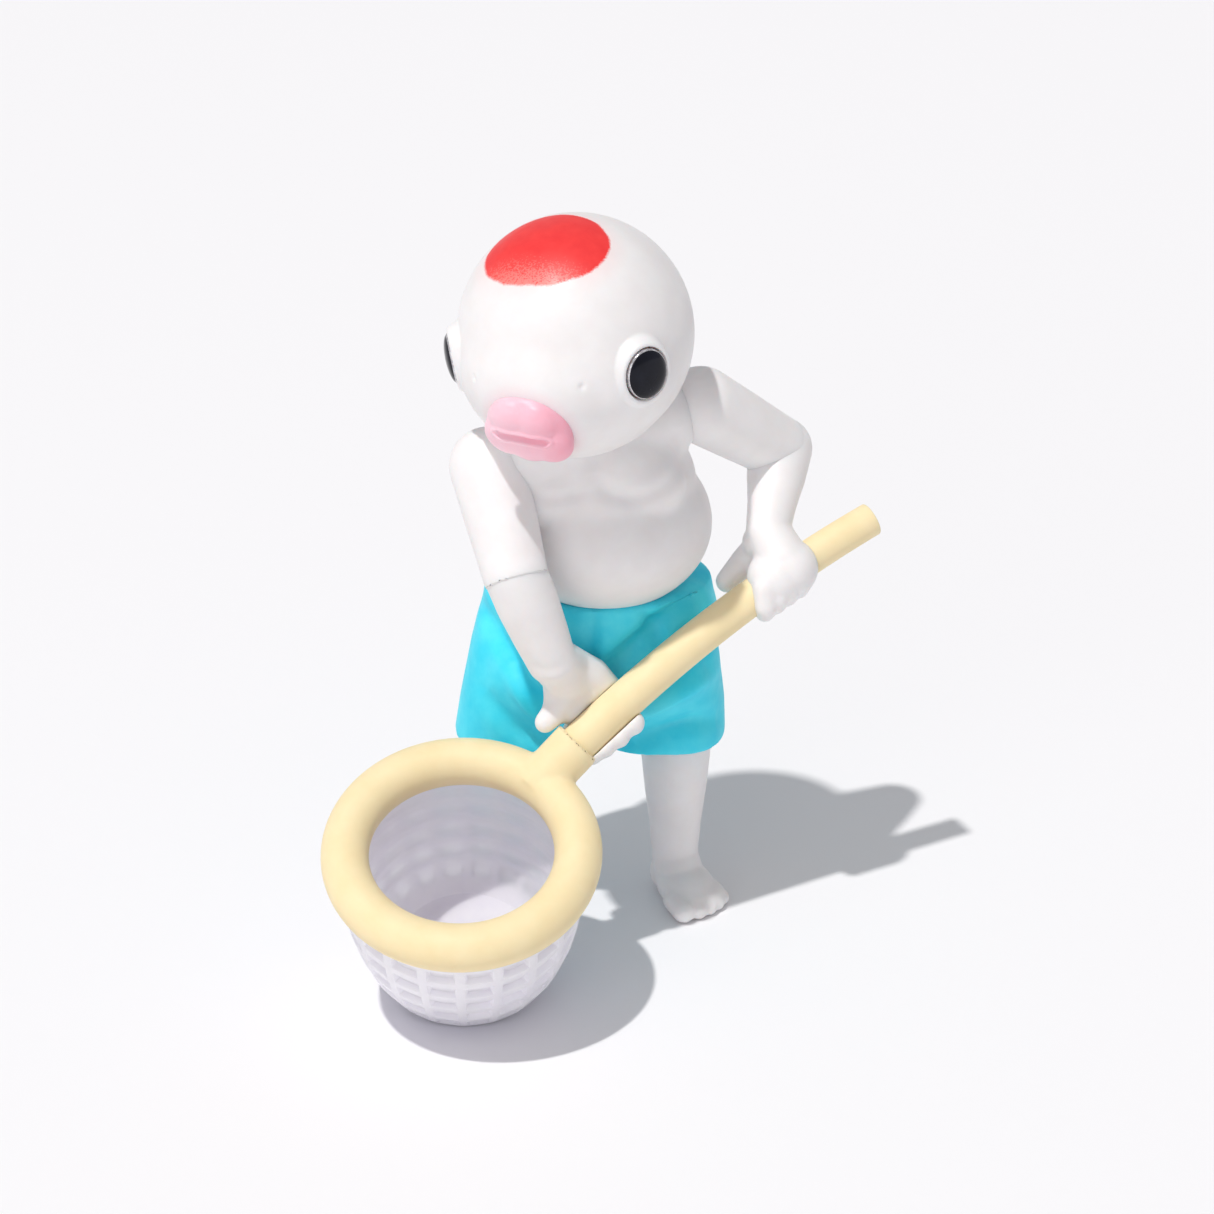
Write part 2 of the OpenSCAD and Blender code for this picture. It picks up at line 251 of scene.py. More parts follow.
def curve_through(points, between=6):
    """A smooth path through the points."""
    points = [Vector(p) for p in points]
    ends = [points[0] * 2 - points[1]] + points + [points[-1] * 2 - points[-2]]
    path = []
    for a, b, c, d in zip(ends, ends[1:], ends[2:], ends[3:]):
        for i in range(between):
            t = i / between
            path.append(0.5 * (2 * b + (c - a) * t + (2 * a - 5 * b + 4 * c - d) * t * t
                               + (3 * b - a - 3 * c + d) * t ** 3))
    return path + [points[-1]]


def onto(shape, points, side):
    """The points laid on the shape's skin, seen from one side."""
    skin = BVHTree.FromBMesh(shape)
    side = Vector(side).normalized()
    laid = []
    for point in points:
        hit = skin.ray_cast(point + side * 30, -side)[0]
        laid.append(hit or point)
    return laid


def push(shape, amounts):
    """Moves each point along its own normal."""
    for point, amount in zip(shape.verts, amounts):
        if abs(amount) > 1e-5:
            point.co += point.normal * float(amount)
    shape.normal_update()


def places(shape):
    return np.array([p.co for p in shape.verts], float)


def crease(shape, points, width, depth, taper=0.5, side=None):
    """A soft groove along a path, fading at its ends; a negative depth makes a ridge."""
    path = curve_through(points)
    path = np.array([list(p) for p in (onto(shape, path, side) if side else path)])
    co = places(shape)
    nearest = np.full(len(co), 1e9)
    share = np.zeros(len(co))
    count = len(path) - 1
    for i in range(count):
        a, ab = path[i], path[i + 1] - path[i]
        t = np.clip(((co - a) @ ab) / max(ab @ ab, 1e-12), 0, 1)
        gap = np.linalg.norm(co - a - t[:, None] * ab, axis=1)
        closer = gap < nearest
        nearest = np.where(closer, gap, nearest)
        share = np.where(closer, (i + t) / count, share)
    fade = np.sin(np.pi * np.clip(share, 0.02, 0.98)) ** taper
    push(shape, -depth * np.exp(-(nearest / width) ** 2) * fade)


def swell(shape, at, radii, height, turn=None):
    """A soft swelling about a point, or a dent when the height is negative."""
    radii = radii if isinstance(radii, (tuple, list)) else (radii,) * 3
    gap = places(shape) - np.array(at)
    if turn:
        gap = gap @ np.array(turn.to_matrix())
    away = np.sum((gap / np.array(radii)) ** 2, axis=1)
    push(shape, height * np.exp(-away))


def oval(gap, across):
    """How far out each gap reaches, in an oval that is narrow across."""
    across = np.array(across)
    share = gap @ across
    return np.linalg.norm(gap + (share * (1 / EYE_NARROW - 1))[:, None] * across, axis=1)


def press_well(shape, at, ahead, across, radius, depth, soft):
    """An oval well with a crisp edge, pressed back along ahead."""
    ahead = ahead.normalized()
    co = places(shape) - np.array(at)
    along = co @ np.array(ahead)
    out = oval(co - along[:, None] * np.array(ahead), across)
    near = (along > -2.5)
    inside = near * np.clip((radius - out) / soft + 0.5, 0, 1)
    for point, share in zip(shape.verts, inside):
        if share > 0:
            point.co -= ahead * float(share) * depth
    shape.normal_update()


def finer(shape, at, reach, cuts=1):
    """Finer faces about a place."""
    at = Vector(at)
    edges = [e for e in shape.edges if (e.verts[0].co - at).length < reach and (e.verts[1].co - at).length < reach]
    bmesh.ops.subdivide_edges(shape, edges=edges, cuts=cuts, use_grid_fill=True, smooth=0.0)
    shape.normal_update()


def piece(name, shape, body, node, look, sharp=None):
    """Settles a shape as a finished piece: real size, soft shading, its body and its look."""
    bmesh.ops.scale(shape, vec=(MM, MM, MM), verts=shape.verts)
    thing = plain_object(name, shape)
    thing.data.shade_smooth()
    if sharp:
        thing.data.set_sharp_from_angle(angle=math.radians(sharp))
    for finish in (look if isinstance(look, list) else [look]):
        thing.data.materials.append(finish)
    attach(thing, body)
    if node:
        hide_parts(node)
    return thing


# ---------------------------------------------------------------- finishes

def fresh(name):
    look = bpy.data.materials.new(name)
    look.use_nodes = True
    tree = look.node_tree
    return look, tree, tree.nodes["Principled BSDF"]


def add(tree, kind, **settings):
    node = tree.nodes.new(kind)
    for key, value in settings.items():
        setattr(node, key, value)
    return node


def own_place(tree, scale=(1, 1, 1), at=(0, 0, 0), turn=(0, 0, 0), kind="POINT"):
    """The piece's own coordinates, moved, turned and stretched."""
    where = add(tree, "ShaderNodeTexCoord")
    mapped = add(tree, "ShaderNodeMapping", vector_type=kind)
    mapped.inputs["Location"].default_value = at
    mapped.inputs["Rotation"].default_value = turn
    mapped.inputs["Scale"].default_value = scale
    tree.links.new(where.outputs["Object"], mapped.inputs["Vector"])
    return mapped.outputs["Vector"]


def noise(tree, place, per_mm, detail=3.0, rough=0.5):
    """Noise whose features are 1/per_mm millimetres across."""
    grain = add(tree, "ShaderNodeTexNoise")
    grain.inputs["Scale"].default_value = per_mm / MM
    grain.inputs["Detail"].default_value = detail
    grain.inputs["Roughness"].default_value = rough
    tree.links.new(place, grain.inputs["Vector"])
    return grain.outputs["Fac"]


def ramp(tree, value, stops):
    """Colours at stops from 0 to 1."""
    band = add(tree, "ShaderNodeValToRGB")
    marks = band.color_ramp.elements
    for i, (spot, tone) in enumerate(stops):
        mark = marks[i] if i < 2 else marks.new(spot)
        mark.position = spot
        mark.color = (*tone, 1) if isinstance(tone, tuple) else (tone, tone, tone, 1)
    tree.links.new(value, band.inputs["Fac"])
    return band.outputs["Color"]


def sums(tree, how, a, b, clamp=False):
    """One step of arithmetic; a and b are sockets or numbers."""
    step = add(tree, "ShaderNodeMath", operation=how, use_clamp=clamp)
    for socket, value in zip(step.inputs, (a, b)):
        if isinstance(value, (int, float)):
            socket.default_value = value
        else:
            tree.links.new(value, socket)
    return step.outputs[0]


def blended(tree, share, a, b):
    """Colour a, going over to colour b by the share."""
    mix = add(tree, "ShaderNodeMix", data_type="RGBA")
    tree.links.new(share, mix.inputs[0])
    for socket, value in ((mix.inputs[6], a), (mix.inputs[7], b)):
        if isinstance(value, tuple):
            socket.default_value = (*value, 1)
        else:
            tree.links.new(value, socket)
    return mix.outputs[2]


def texture_of_mould(tree, shader, place, rough, pebble, strength=0.12):
    """The slight unevenness of gloss and the faint pebble of a moulded surface."""
    gloss = noise(tree, place, 0.9, 4)
    tree.links.new(ramp(tree, gloss, [(0.3, rough - 0.05), (0.7, rough + 0.06)]), shader.inputs["Roughness"])
    fine = noise(tree, place, pebble, 2)
    broad = noise(tree, place, 0.55, 2)
    height = sums(tree, "ADD", sums(tree, "MULTIPLY", fine, 0.35), broad)
    bump = add(tree, "ShaderNodeBump")
    bump.inputs["Strength"].default_value = strength
    bump.inputs["Distance"].default_value = 0.06 * MM
    tree.links.new(height, bump.inputs["Height"])
    tree.links.new(bump.outputs["Normal"], shader.inputs["Normal"])


def vinyl(name, deep, light, rough=0.42, flesh=0.2, reach=(1.0, 0.6, 0.45), pebble=9.0):
    """Moulded vinyl whose tone drifts slightly between deep and light."""
    look, tree, shader = fresh(name)
    place = own_place(tree)
    drift = noise(tree, place, 0.35, 4, 0.55)
    tree.links.new(ramp(tree, drift, [(0.32, deep), (0.68, light)]), shader.inputs["Base Color"])
    shader.inputs["Subsurface Weight"].default_value = flesh
    shader.inputs["Subsurface Radius"].default_value = reach
    shader.inputs["Subsurface Scale"].default_value = 0.9 * MM
    shader.inputs["Specular IOR Level"].default_value = 0.42
    texture_of_mould(tree, shader, place, rough, pebble)
    return look


WHITE_DEEP, WHITE_LIGHT = (0.845, 0.815, 0.815), (0.885, 0.865, 0.868)
white_vinyl = vinyl("white_vinyl", WHITE_DEEP, WHITE_LIGHT, rough=0.44, flesh=0.35, reach=(1.2, 0.8, 0.65))
cyan_vinyl = vinyl(
    "cyan_vinyl", (0.025, 0.68, 0.89), (0.085, 0.79, 0.96), rough=0.52, flesh=0.1, reach=(0.3, 0.8, 1.0))
yellow_vinyl = vinyl(
    "yellow_vinyl", (0.875, 0.725, 0.43), (0.915, 0.775, 0.49), rough=0.58, flesh=0.2, pebble=5.0)
lilac_vinyl = vinyl(
    "lilac_vinyl", (0.825, 0.80, 0.92), (0.875, 0.855, 0.95), rough=0.42, flesh=0.8, reach=(3.0, 2.9, 3.1))


def head_finish():
    """White vinyl with a sprayed red cap, grainy at its front edge, and a breath of pink round the lips."""
    look, tree, shader = fresh("head_white_red_cap")
    place = own_place(tree)
    drift = noise(tree, place, 0.35, 4, 0.55)
    white = ramp(tree, drift, [(0.32, WHITE_DEEP), (0.68, WHITE_LIGHT)])
    head = own_place(tree, (MM,) * 3, tuple(HEAD * MM), tuple(HEAD_TURN), "TEXTURE")
    split = add(tree, "ShaderNodeSeparateXYZ")
    tree.links.new(head, split.inputs[0])
    x, y, z = split.outputs
    across = sums(tree, "DIVIDE", sums(tree, "ADD", x, 0.35), 4.85)
    along = sums(tree, "DIVIDE", sums(tree, "ADD", y, 1.25), 3.95)
    away = sums(tree, "SQRT", sums(tree, "ADD", sums(tree, "POWER", across, 2.0), sums(tree, "POWER", along, 2.0)), 0)
    below = sums(tree, "LESS_THAN", z, 0.0)
    away = sums(tree, "ADD", away, sums(tree, "MULTIPLY", below, 9.0))
    wander = sums(tree, "MULTIPLY", sums(tree, "SUBTRACT", noise(tree, place, 0.45, 2), 0.5), 0.10)
    grain = sums(tree, "SUBTRACT", noise(tree, place, 7.0, 2, 0.7), 0.5)
    edge = sums(tree, "ADD", sums(tree, "ADD", away, wander), sums(tree, "MULTIPLY", grain, 0.05))
    paint = ramp(tree, edge, [(0.962, 1.0), (1.0, 0.0)])
    # towards the front edge the spray thins out and the white shows through in specks
    front = sums(tree, "MULTIPLY", sums(tree, "SUBTRACT", sums(tree, "MULTIPLY", y, -1.0), 2.3), 0.38, True)
    specks = sums(tree, "GREATER_THAN", sums(tree, "ADD", grain, sums(tree, "MULTIPLY", front, 0.30)), 0.19)
    thin = sums(tree, "MULTIPLY", sums(tree, "MULTIPLY", specks, front), 0.42)
    red = blended(tree, noise(tree, place, 1.1, 3), (0.80, 0.022, 0.028), (0.93, 0.05, 0.045))
    red = blended(tree, thin, red, (1.0, 0.55, 0.50))
    red = blended(tree, sums(tree, "MULTIPLY", front, 0.28), red, (1.0, 0.22, 0.19))
    # a faint breath of pink outside the cap's edge
    glow = sums(tree, "MULTIPLY", ramp(tree, sums(tree, "SUBTRACT", away, 0.9), [(0.05, 1.0), (0.34, 0.0)]), 0.22)
    skin = blended(tree, glow, white, (1.0, 0.52, 0.52))
    # and round the lips
    lips = middle("lips")
    near_lips = own_place(tree, (MM,) * 3, tuple((HEAD + (lips - HEAD) * 0.93) * MM), tuple(HEAD_TURN), "TEXTURE")
    length = add(tree, "ShaderNodeVectorMath", operation="LENGTH")
    tree.links.new(near_lips, length.inputs[0])
    reach = sums(tree, "ADD", length.outputs["Value"], sums(tree, "MULTIPLY", grain, 0.5))
    blush = ramp(tree, sums(tree, "DIVIDE", reach, 8.0), [(0.38, 1.0), (0.52, 0.0)])
    skin = blended(tree, sums(tree, "MULTIPLY", blush, 0.32), skin, (0.955, 0.55, 0.63))
    tree.links.new(blended(tree, paint, skin, red), shader.inputs["Base Color"])
    shader.inputs["Subsurface Weight"].default_value = 0.3
    shader.inputs["Subsurface Radius"].default_value = (1.2, 0.8, 0.65)
    shader.inputs["Subsurface Scale"].default_value = 0.8 * MM
    shader.inputs["Specular IOR Level"].default_value = 0.45
    texture_of_mould(tree, shader, place, 0.42, 9.0)
    return look


def lips_finish():
    """Pink, darker and redder at the figure's left corner."""
    look, tree, shader = fresh("lips_pink")
    place = own_place(tree)
    lips = own_place(tree, (MM,) * 3, tuple(middle("lips") * MM), tuple(HEAD_TURN), "TEXTURE")
    split = add(tree, "ShaderNodeSeparateXYZ")
    tree.links.new(lips, split.inputs[0])
    side = sums(tree, "ADD", sums(tree, "MULTIPLY", split.outputs[0], 0.13), 0.5)
    unevenness = sums(tree, "SUBTRACT", noise(tree, place, 0.8, 3), 0.5)
    side = sums(tree, "ADD", side, sums(tree, "MULTIPLY", unevenness, 0.25))
    tone = ramp(tree, side, [(0.25, (0.97, 0.62, 0.71)), (0.62, (0.97, 0.54, 0.64)), (0.95, (0.94, 0.40, 0.50))])
    tree.links.new(tone, shader.inputs["Base Color"])
    shader.inputs["Subsurface Weight"].default_value = 0.25
    shader.inputs["Subsurface Radius"].default_value = (1.2, 0.5, 0.5)
    shader.inputs["Subsurface Scale"].default_value = 0.6 * MM
    texture_of_mould(tree, shader, place, 0.38, 8.0)
    return look


def eye_finish():
    """Deep black with a bluish bloom, under a hard clear coat."""
    look, tree, shader = fresh("eye_black_gloss")
    place = own_place(tree)
    tree.links.new(
        ramp(tree, noise(tree, place, 0.6, 2), [(0.3, (0.003, 0.003, 0.006)), (0.7, (0.009, 0.010, 0.018))]),
        shader.inputs["Base Color"],
    )
    tree.links.new(ramp(tree, noise(tree, place, 2.5, 2), [(0.3, 0.14), (0.7, 0.24)]), shader.inputs["Roughness"])
    shader.inputs["Specular IOR Level"].default_value = 0.14
    shader.inputs["Coat Weight"].default_value = 0.12
    shader.inputs["Coat Roughness"].default_value = 0.10
    return look


def eye_glint_ring_finish():
    """The bright silvery edge of each eye bead: a painted glint, a silver ring that stands in for the light caught
    along the bead's edge.
    """
    look, tree, shader = fresh("eye_painted_glint_ring")
    place = own_place(tree)
    # bright silvery base colour: the painted glint round the bead's edge
    tree.links.new(
        ramp(tree, noise(tree, place, 3.0, 2), [(0.3, (0.42, 0.40, 0.43)), (0.7, (0.80, 0.79, 0.82))]),
        shader.inputs["Base Color"],
    )
    tree.links.new(ramp(tree, noise(tree, place, 5.0, 2), [(0.3, 0.18), (0.7, 0.34)]), shader.inputs["Roughness"])
    shader.inputs["Metallic"].default_value = 0.7
    return look


# ---------------------------------------------------------------- the head

def in_head(x, y, z):
    return HEAD + HEAD_TURN.to_matrix() @ Vector((x, y, z))


def lean(angle):
    """The head's own turn with a further nod."""
    return (HEAD_TURN.to_matrix() @ Euler((math.radians(angle), 0, 0)).to_matrix()).to_euler()


def eye_run(eye):
    """The line an eye looks along, from the middle of the head."""
    return (middle(eye) - HEAD).normalized()


def eye_across(eye):
    """The level direction across an eye."""
    return (HEAD_TURN.to_matrix() @ Vector((0, 0, 1))).cross(eye_run(eye)).normalized()


def fish_head():
    shape = bmesh.new()
    ball(shape, in_head(0, 0.1, -0.05), (8.62, 8.7, 8.72), HEAD_TURN)
    muzzle = in_head(0, 0, 0) + lean(17).to_matrix() @ Vector((0, -3.6, 0))
    ball(shape, muzzle, (6.75, 6.35, 6.35), lean(17))
    ball(shape, in_head(0, -1.6, -0.9), (8.3, 7.55, 7.5), HEAD_TURN)
    shape = cast(shape, 0.22, 24)
    for side, eye in ((1, "left_eye"), (-1, "right_eye")):
        out = eye_run(eye)
        finer(shape, HEAD + out * 8.75, 4.0)
        co = places(shape) - np.array(HEAD)
        along = co @ np.array(out)
        radius = oval(co - along[:, None] * np.array(out), eye_across(eye))
        rim = np.clip((2.84 - radius) / 0.55, 0, 1)
        rim = rim * rim * (3 - 2 * rim) * (along > 0)
        level = 9.08
        for point, share, height, r in zip(shape.verts, rim, along, radius):
            if share > 0:
                top = level - 0.14 * max(0.0, (float(r) - 2.25) / 0.5) ** 2
                point.co += out * (top - float(height)) * float(share)
        shape.normal_update()
        finer(shape, HEAD + out * level, 3.0)
        press_well(shape, HEAD + out * level, out, eye_across(eye), 2.03, 0.75, 0.10)
        near = [p for p in shape.verts if (p.co - HEAD - out * 8.8).length < 3.6]
        bmesh.ops.smooth_vert(shape, verts=near, factor=0.4, use_axis_x=True, use_axis_y=True, use_axis_z=True)
        shape.normal_update()
        # a nostril pit on each side of the muzzle
        pit = in_head(side * 4.12, -7.81, 0.61)
        finer(shape, pit, 1.0)
        finer(shape, pit, 0.8)
        swell(shape, pit, 0.26, -0.40)
        swell(shape, pit, 0.62, 0.05)
    # the chin's soft edge
    swell(shape, in_head(0, -1.5, -8.6), (5, 4, 2), -0.15, HEAD_TURN)
    return piece("fish_head", shape, "head", "head", head_finish())


def pink_lips():
    """A low pillow, wider below, with a short slit in a fine raised band."""
    turn = (lean(17).to_matrix() @ Euler((math.radians(-3), math.radians(9), 0)).to_matrix()).to_euler()
    own = turn.to_matrix()
    face = middle("lips") + own @ Vector((0, 0.2, 0.3))

    def at(x, z, ahead=0.0):
        return face + own @ Vector((x, -ahead, z))

    shape = bmesh.new()
    ball(shape, at(0, 0, -0.4), (3.3, 1.5, 3.0), turn)
    for x, z, r in ((-1.0, 0.95, 1.85), (0.75, 1.0, 1.85), (-1.5, -0.6, 1.95), (1.45, -0.65, 1.95), (0, -0.85, 2.05)):
        ball(shape, at(x, z), (r, 1.12, r), turn)
    shape = cast(shape, 0.12, 26)
    front = own @ Vector((0, -1, 0))
    level = 0.25
    slit = [(x, level) for x in (-1.85, -0.9, 0, 0.75, 1.55)]
    finer(shape, at(-0.15, level, 1.0), 2.8)
    band = [(x, z + 0.44) for x, z in slit] + [(2.1, level)] + [(x, z - 0.44) for x, z in slit[::-1]] + [(-2.4, level)]
    crease(shape, [at(x, z) for x, z in band + band[:1]], 0.18, -0.13, 0.0, front)
    crease(shape, [at(x, z) for x, z in slit], 0.19, 0.42, 0.2, front)
    return piece("pink_lips", shape, "head", "lips", lips_finish())


def eye_bead(name, node):
    out = eye_run(node)
    base = HEAD + out * (8.85 + 0.35 - 0.7)
    dome = [(1.86 * math.cos(a), 0.58 + 0.52 * math.sin(a)) for a in np.linspace(0, math.pi / 2, 16)[3:]]
    outline = [(0, 0), (1.9, 0), (1.93, 0.05), (1.93, 0.60), (1.90, 0.66), (1.84, 0.69)] + dome[:-1] + [(0, 1.10)]
    shape = bmesh.new()
    lathe(shape, base, out, outline, 72)
    # the faces round the bead's edge carry the painted glint ring
    for face in shape.faces:
        gap = face.calc_center_median() - base
        along = gap.dot(out)
        face.material_index = 1 if (gap - out * along).length > 1.83 and along > 0.3 else 0
    across = eye_across(node)
    for point in shape.verts:
        point.co -= across * (point.co - base).dot(across) * (1 - EYE_NARROW)
    shape.normal_update()
    return piece(name, shape, "head", node, [eye_finish(), eye_glint_ring_finish()])


# ---------------------------------------------------------------- the body

def at_waist(x, y, z):
    """A place measured from the middle of the waist."""
    return WAIST + Vector((x, y, z))


def bare_torso():
    shape = bmesh.new()
    ball(shape, at_waist(0.40, -0.85, 4.8), (8.15, 7.75, 6.5))
    ball(shape, at_waist(0.0, -1.3, 8.4), (7.3, 6.2, 5.6))
    ball(shape, at_waist(-0.25, -1.9, 10.6), (7.0, 5.2, 4.2))
    between_shoulders, half_span = (LEFT_SHOULDER + RIGHT_SHOULDER) / 2, SHOULDER_LINE * 5.1
    limb(shape, between_shoulders - half_span, 3.1, between_shoulders + half_span, 3.1)
    # the chest muscles, left and right
    ball(shape, at_waist(2.9, -4.6, 9.6), (3.6, 2.5, 2.7))
    ball(shape, at_waist(-3.7, -5.2, 9.2), (3.5, 2.4, 2.6))
    drum(shape, NECK - NECK_UP * 4, NECK_UP, 4.2, 3.8, 6.2)
    shape = cast(shape, 0.26, 22)
    # the folds under the chest, the breastbone, the armpit folds, and the hollows of the back
    front, back = Vector((0, -1, 0.25)), Vector((0, 1, 0))
    for points, width, depth, side in (
        (((-6.4, 8.9), (-5.2, 8.0), (-3.4, 7.8), (-1.4, 8.2), (-0.6, 9.0)), 0.55, 0.30, front),
        (((0.0, 9.2), (0.8, 8.2), (2.6, 7.8), (4.6, 8.4), (6.4, 10.2)), 0.6, 0.36, front),
        (((-0.3, 12.6), (-0.3, 10.8), (-0.3, 8.8)), 0.8, 0.24, front),
        (((5.7, 13.0), (5.9, 11.2), (6.8, 9.4)), 0.7, 0.24, front),
        (((-5.6, 12.2), (-4.2, 12.9), (-2.4, 12.6)), 0.5, 0.16, front),
        (((0.3, 12.5), (0.5, 8), (0.5, 3)), 1.1, 0.35, back),
        (((-4.6, 5.6), (0.5, 4.8), (5.6, 5.6)), 0.9, 0.18, back),
        (((-4.6, 12.2), (-3.4, 10.2), (-4.4, 8.4)), 0.9, 0.22, back),
        (((5.4, 12.6), (4.2, 10.6), (5.2, 8.8)), 0.9, 0.22, back),
    ):
        crease(shape, [at_waist(x, 0, z) for x, z in points], width, depth, 0.5, side)
    slice_off(shape, at_waist(0, 0, 0.02), DOWN)
    socket = bmesh.new()
    ball(socket, HEAD, 8.94)
    shape = cut(shape, socket)
    return piece("bare_torso", shape, "figure", "torso", white_vinyl, sharp=50)


def swim_trunks():
    shape = bmesh.new()
    height = WAIST.z - HEM
    # (share of the height, half width, half depth, shift across, shift back) from the waist down
    rings = [(1.0, 8.55, 6.2, 0, 0), (0.86, 8.9, 6.35, -0.1, 0), (0.66, 9.3, 6.45, -0.3, 0),
             (0.45, 9.75, 6.45, -0.4, 0), (0.30, 9.4, 5.6, -0.5, 0.1)]
    for (a, wa, da, xa, ya), (b, wb, db, xb, yb) in zip(rings, rings[1:]):
        low, high = HEM + height * b, HEM + height * a
        made = drum(shape, Vector((WAIST.x + xb, WAIST.y + yb, low)), UP, 1, 1, high - low)
        for point in made:
            top = point.co.z > (low + high) / 2
            w, d, x, y = (wa, da, xa, ya) if top else (wb, db, xb, yb)
            point.co.x = WAIST.x + x + (point.co.x - WAIST.x - xb) * w
            point.co.y = WAIST.y + y + (point.co.y - WAIST.y - yb) * d
    legs = ((LEFT_HIP, 1), (RIGHT_HIP, -1))
    for hip, side in legs:
        low = Vector((hip.x - side * 1.1, hip.y + 0.1, HEM))
        high = Vector((WAIST.x - 0.35 + side * 4.5, WAIST.y, HEM + height * 0.62))
        made = drum(shape, low, UP, 5.2, 4.9, high.z - low.z)
        for point in made:
            if point.co.z > (low.z + high.z) / 2:
                point.co += high - low - UP * (high.z - low.z)
    shape = cast(shape, 0.26, 14)
    hollow = bmesh.new()
    for hip, side in legs:
        low = Vector((hip.x - side * 1.1, hip.y + 0.1, HEM - 1))
        drum(hollow, low, UP, 4.35, 4.0, 6)
    shape = cut(shape, hollow)
    shape = cast(shape, 0.20, 3)
    # drag folds from the crotch and the hips, and the seam down the front and back
    front, back = Vector((0, -1, 0.2)), Vector((0, 1, 0.2))
    right, left = Vector((-1, -0.35, 0.1)), Vector((1, -0.35, 0.1))
    for points, width, depth, side in (
        (((-0.8, 3.8), (-0.7, 7.0), (-0.5, 10.5), (-0.3, 13.2)), 0.6, 0.45, front),
        (((0.0, 6.8), (2.4, 9.0), (5.2, 11.4), (8.2, 13.4)), 0.8, 1.05, front),
        (((0.6, 5.0), (3.0, 7.2), (6.0, 9.6), (8.8, 11.4)), 0.8, -0.65, front),
        (((0.4, 3.8), (3.2, 5.2), (6.4, 7.6), (9.2, 9.2)), 0.8, 1.10, front),
        (((1.0, 2.6), (3.6, 3.6), (6.8, 5.2), (9.0, 6.0)), 0.9, -0.65, front),
        (((2.4, 0.6), (4.4, 1.6), (7.0, 2.2), (9.2, 2.0)), 0.9, 0.80, front),
        (((3.2, 12.8), (4.2, 10.4), (4.8, 8.4)), 0.6, 0.35, front),
        (((-1.4, 5.2), (-3.0, 8.0), (-5.0, 11.0), (-6.8, 13.4)), 0.85, 0.90, front),
        (((-2.0, 4.0), (-4.6, 5.8), (-7.4, 8.8), (-9.2, 11.6)), 0.9, 0.85, front),
        (((-1.8, 6.8), (-3.6, 9.6), (-4.6, 12.4)), 0.7, -0.45, front),
        (((-3.0, 1.6), (-5.4, 4.2), (-6.6, 7.6)), 0.9, -0.55, front),
        (((-3.6, 0.6), (-6.2, 1.8), (-8.8, 4.8)), 0.9, 0.60, front),
        (((-0.5, 4.0), (-0.5, 8.0), (-0.3, 12.6)), 0.6, 0.40, back),
        (((0.3, 4.8), (3.4, 5.8), (6.8, 8.2)), 0.8, 0.55, back),
        (((-1.3, 4.8), (-4.4, 5.8), (-7.8, 8.2)), 0.8, 0.55, back),
        (((1.4, 10.8), (4.2, 12.0), (7.0, 12.4)), 0.7, 0.38, back),
        (((-2.0, 10.8), (-5.0, 12.0), (-7.6, 12.4)), 0.7, 0.38, back),
        (((-1.0, 2.4), (3.6, 2.0), (7.8, 4.4)), 0.8, -0.35, back),
        (((0.0, 13.4), (0.2, 9.0), (0.2, 5.0)), 0.8, 0.25, right),
        (((0.0, 13.4), (0.2, 9.0), (0.2, 5.0)), 0.8, 0.25, left),
    ):
        crease(shape, [Vector((WAIST.x + x, WAIST.y, HEM + z)) for x, z in points], width, depth, 0.5, side)
    # pressed in a little where the hand and the pole pass
    behind_pole = Vector((0, 1.4, 0))
    for at in (RIGHT_HAND + Vector((1.2, 2.8, 0.6)), pole_at(0.36) + behind_pole, pole_at(0.5) + behind_pole):
        swell(shape, at, 2.4, -0.42)
    # a wave in each hem
    co = places(shape)
    low = np.clip((HEM + 3.2 - co[:, 2]) / 3.2, 0, 1)
    turn = np.arctan2(co[:, 1] - WAIST.y, co[:, 0] - WAIST.x)
    push(shape, -0.16 * low * (1 + np.sin(turn * 7 + 0.6)))
    return piece("swim_trunks", shape, "figure", "trunks", cyan_vinyl)


def bare_leg(name, node, body, hip, side):
    up = UP
    foot = Euler((0, 0, math.radians(side * 29)), "XYZ")
    ahead = foot.to_matrix() @ Vector((0, -1, 0))
    across = foot.to_matrix() @ Vector((1, 0, 0))
    ground = Vector((hip.x, hip.y, 0))
    shape = bmesh.new()
    chain(shape, [(ground + up * 16.2, 2.7), (ground + up * 12.6, 2.72), (ground + up * 9.6, 2.45),
                  (ground + up * 6.4, 2.05), (ground + up * 3.6, 1.84)])
    ball(shape, ground + up * 10.6 + Vector((0, 0.55, 0)), (2.3, 2.1, 3.4))
    ball(shape, ground + ahead * -0.45 + up * 1.5, (1.75, 1.8, 1.8), foot)
    ball(shape, ground + ahead * 0.6 + up * 2.4, (1.85, 2.0, 2.0), foot)
    ball(shape, ground + ahead * 1.7 + up * 1.35, (2.2, 2.8, 1.75), foot)
    ball(shape, ground + ahead * 3.0 + up * 1.0, (2.62, 2.0, 1.3), foot)
    # five toes, the big one on the inner side
    for offset, width, reach in ((1.72, 0.92, 4.45), (0.48, 0.74, 4.62), (-0.52, 0.70, 4.50), (-1.42, 0.66, 4.2),
                                 (-2.2, 0.60, 3.7)):
        tip = ground + ahead * reach + across * offset * -side + up * (width * 0.92)
        limb(shape, tip - ahead * 1.4 + up * 0.25, width, tip, width)
    shape = cast(shape, 0.16, 10)
    # ankle bones and the tendon
    for way in (1, -1):
        swell(shape, ground + across * way * 1.8 + up * 3.2, 0.7, 0.12)
        crease(shape, [ground + ahead * -1.8 + across * way * 0.8 + up * z for z in (2.6, 4.2, 6.0)], 0.45, 0.10)
    slice_off(shape, Vector((0, 0, 0)), DOWN)
    return piece(name, shape, body, node, white_vinyl, sharp=60)


# ---------------------------------------------------------------- the arms

